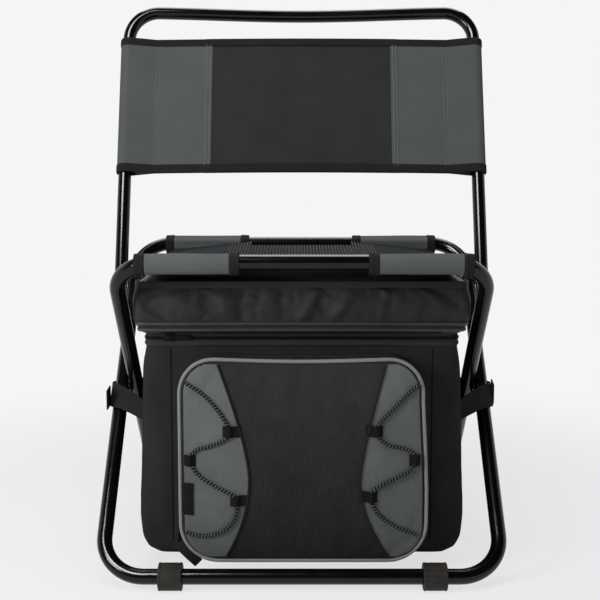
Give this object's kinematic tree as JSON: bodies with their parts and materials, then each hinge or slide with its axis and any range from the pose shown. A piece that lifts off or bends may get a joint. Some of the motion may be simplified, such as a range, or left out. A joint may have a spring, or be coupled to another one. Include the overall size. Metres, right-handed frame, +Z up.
{
  "type": "folding cooler stool",
  "caption": "Folding X-frame steel tube stool with a sling seat, a hinged cloth backrest and a soft zipped cooler bag with a laced front pocket hung between the legs.",
  "frame": {"origin": "on the floor, below the middle of the whole stool's box", "axes": "+Z up, -Y the way the sitter faces, +X to the right in the front view"},
  "size_m": [0.465, 0.4082, 0.6343],
  "materials": {
    "paint": "gloss black powder coat on steel tube",
    "steel": "plated rivets and zip sliders",
    "nylon": "black nylon",
    "rubber": "ridged dark rubber",
    "grey_cloth": "grey coated woven polyester",
    "black_cloth": "black coated woven polyester",
    "mesh": "black ribbed mesh",
    "binding": "black woven tape",
    "piping": "light grey piping",
    "cord": "black elastic cord with pale flecks",
    "foam": "closed-cell insulating foam",
    "liner": "silvery wipe-clean liner"
  },
  "bodies": {
    "outer_frame": {"outer_leg_loop": "paint", "front_foot_l": "rubber", "front_foot_r": "rubber", "pivot_rivet_l": "steel", "pivot_rivet_r": "steel", "pivot_washer_l": "nylon", "pivot_washer_r": "nylon", "backrest_rivet_l": "steel", "backrest_rivet_r": "steel", "backrest_washer_l": "nylon", "backrest_washer_r": "nylon", "rear_sleeve_l": "grey_cloth", "rear_sleeve_r": "grey_cloth", "seat_panel": "mesh", "cooler_shell": "black_cloth", "cooler_foam": "foam", "cooler_liner": "liner", "lid_zip_band": "binding", "lid_cap": "black_cloth", "lid_foam": "foam", "pocket_gusset": "black_cloth", "pocket_zip_tail": "binding", "side_strap_l": "binding", "side_strap_r": "binding"},
    "inner_frame": {"inner_leg_loop": "paint", "rear_foot_l": "rubber", "rear_foot_r": "rubber", "front_sleeve_l": "grey_cloth", "front_sleeve_r": "grey_cloth"},
    "backrest": {"backrest_tube": "paint", "backrest_stop_pin_l": "steel", "backrest_stop_pin_r": "steel", "backrest_end_cap_l": "nylon", "backrest_end_cap_r": "nylon", "backrest_panel": "black_cloth", "backrest_wrap_l": "grey_cloth", "backrest_wrap_r": "grey_cloth", "backrest_binding_top": "binding", "backrest_binding_bottom": "binding"},
    "flap": {"lid_flap": "black_cloth"},
    "lid_slider": {"lid_zip_slider": "steel"},
    "pocket_panel": {"pocket_front": "black_cloth", "pocket_piping": "piping", "pocket_crescent_l": "grey_cloth", "pocket_crescent_r": "grey_cloth", "pocket_cord_l": "cord", "pocket_cord_r": "cord", "cord_tab_l1": "binding", "cord_tab_l2": "binding", "cord_tab_l3": "binding", "cord_tab_r1": "binding", "cord_tab_r2": "binding", "cord_tab_r3": "binding"},
    "pocket_slider": {"pocket_zip_slider": "steel"}
  },
  "joints": [
    {"name": "frame_fold", "type": "hinge", "parent": "outer_frame", "child": "inner_frame", "pos_m": [0, -0.03485, 0.17618], "axis": [-1, 0, 0], "range_deg": [0, 80], "deforming": ["seat_panel"]},
    {"name": "backrest_fold", "type": "hinge", "parent": "outer_frame", "child": "backrest", "pos_m": [0, 0.07458, 0.2914], "axis": [1, 0, 0], "range_deg": [0, 92]},
    {"name": "lid_flap_lift", "type": "hinge", "parent": "outer_frame", "child": "flap", "pos_m": [0, -0.13885, 0.3022], "axis": [-1, 0, 0], "range_deg": [0, 78]},
    {"name": "lid_zip_slide", "type": "slide", "parent": "outer_frame", "child": "lid_slider", "axis": [1, 0, 0], "range_m": [0, 0.25]},
    {"name": "pocket_open", "type": "hinge", "parent": "outer_frame", "child": "pocket_panel", "pos_m": [0, -0.17435, 0.0245], "axis": [1, 0, 0], "range_deg": [0, 70]},
    {"name": "pocket_zip_slide", "type": "slide", "parent": "outer_frame", "child": "pocket_slider", "axis": [0, 0, 1], "range_m": [0, 0.13]}
  ]
}
